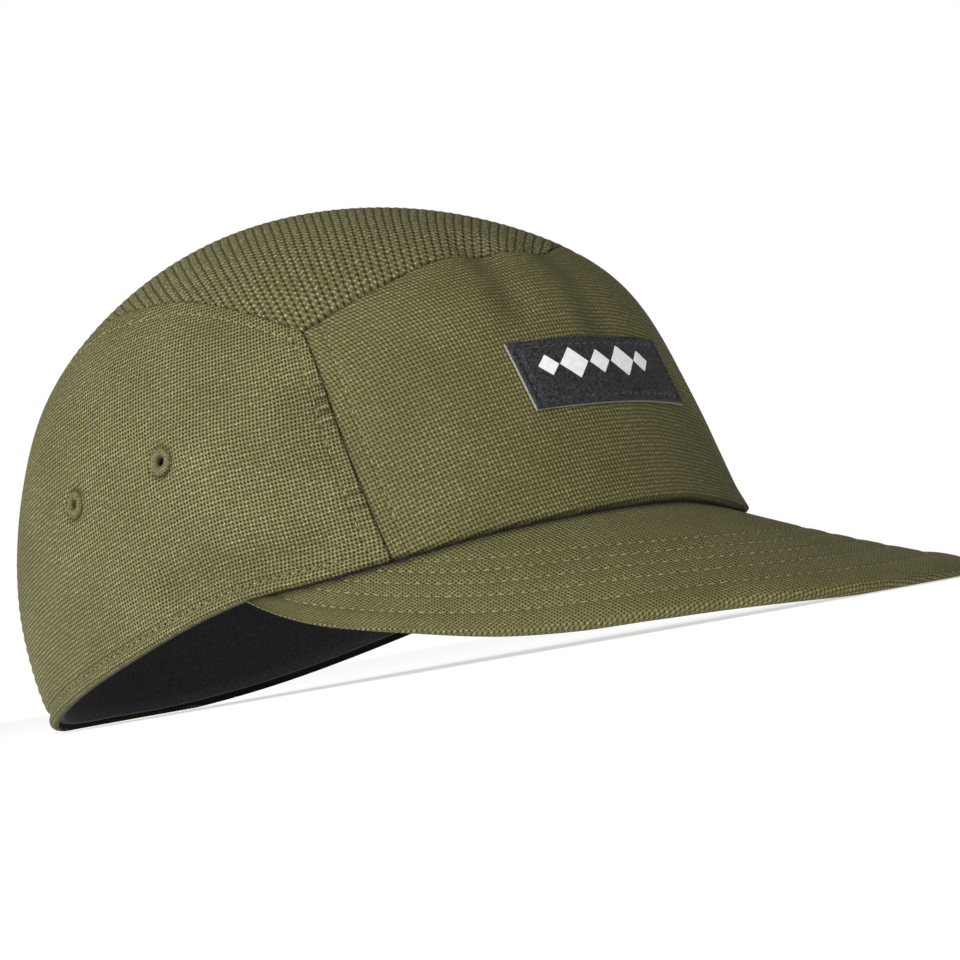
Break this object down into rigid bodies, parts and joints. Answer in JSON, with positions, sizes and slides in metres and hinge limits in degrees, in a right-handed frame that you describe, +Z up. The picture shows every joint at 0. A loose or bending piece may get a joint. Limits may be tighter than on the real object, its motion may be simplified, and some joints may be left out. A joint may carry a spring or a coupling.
{
  "type": "five-panel cap",
  "caption": "Soft crown of olive mesh panels with a ribbed knit top, a curved stitched peak, stitched eyelets, a dark front label and a black sweatband inside the rim.",
  "frame": {"origin": "middle of the base of the box that bounds the cap as it stands on a table, on its rear rim and the tip of its peak", "axes": "+Z up, -Y towards the peak, +X towards the wearer's left"},
  "size_m": [0.1622, 0.2752, 0.123],
  "materials": {
    "crown_cloth": "olive polyester mesh weave, matt",
    "top_knit": "olive rib knit, matt",
    "sweatband_cloth": "black brushed jersey, matt",
    "label_tape": "charcoal woven label, matt",
    "eyelet_thread": "olive embroidery thread"
  },
  "bodies": {
    "root": {"front_panel": "crown_cloth", "side_panel_right": "crown_cloth", "side_panel_left": "crown_cloth", "back_panel": "crown_cloth", "top_panel": "top_knit", "peak": "crown_cloth", "sweatband": "sweatband_cloth", "label_patch": "label_tape", "eyelet_right_front": "eyelet_thread", "eyelet_right_rear": "eyelet_thread", "eyelet_left_front": "eyelet_thread", "eyelet_left_rear": "eyelet_thread"}
  },
  "joints": []
}
